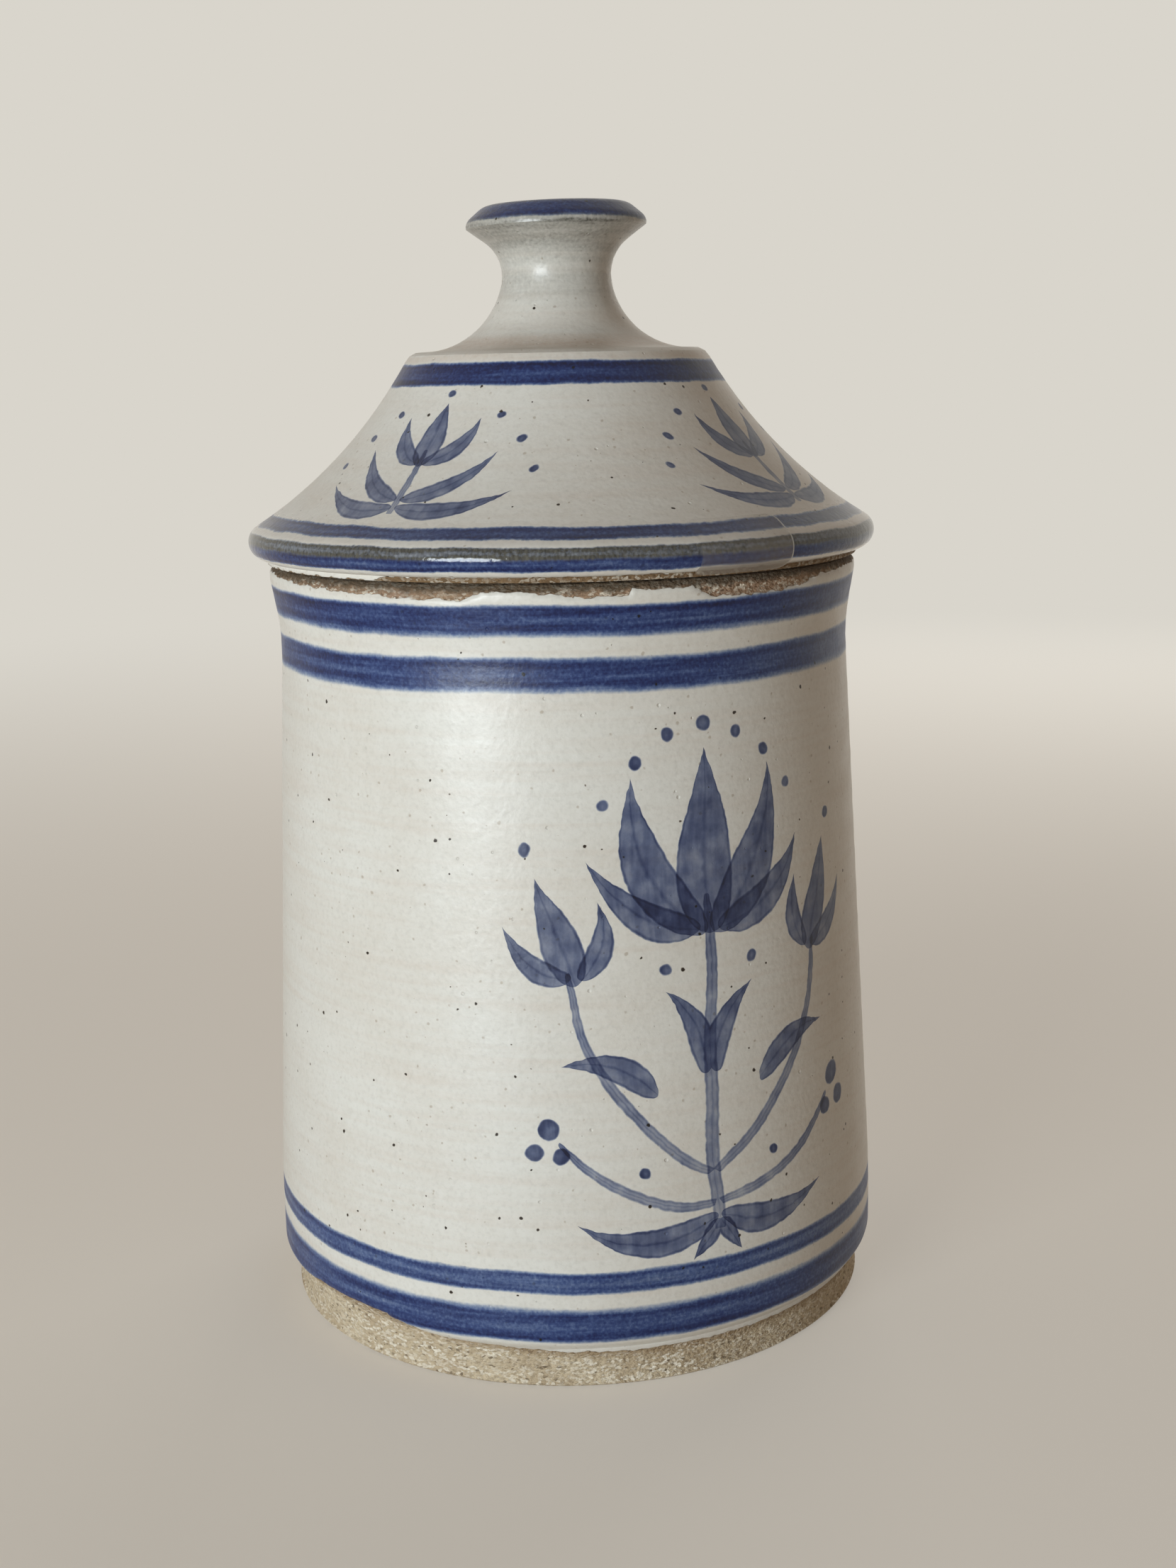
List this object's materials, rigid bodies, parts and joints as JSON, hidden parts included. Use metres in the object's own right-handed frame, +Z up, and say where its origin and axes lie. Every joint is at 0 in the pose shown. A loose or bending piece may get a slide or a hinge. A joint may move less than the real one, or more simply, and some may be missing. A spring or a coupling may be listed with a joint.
{
  "type": "biscuit jar",
  "caption": "Thrown stoneware biscuit jar with a lift-off conical lid, a cupped knob and a locating flange, glazed cream with blue bands.",
  "frame": {"origin": "centre of the jar's foot, on the surface it stands on", "axes": "+Z up along the jar's axis, -Y towards the viewer, +X to the viewer's right"},
  "size_m": [0.1358, 0.1358, 0.2391],
  "materials": {
    "glazed_stoneware": "satin cream glaze with brushed blue bands, bare clay at the rim and foot",
    "clear_tape": "clear film, slightly milky"
  },
  "bodies": {
    "jar": {"jar": "glazed_stoneware"},
    "lid": {"lid": "glazed_stoneware", "clear_tape": "clear_tape"}
  },
  "joints": [
    {"name": "lid_lift", "type": "slide", "parent": "jar", "child": "lid", "axis": [0, 0, 1], "range_m": [0, 0.15]}
  ]
}
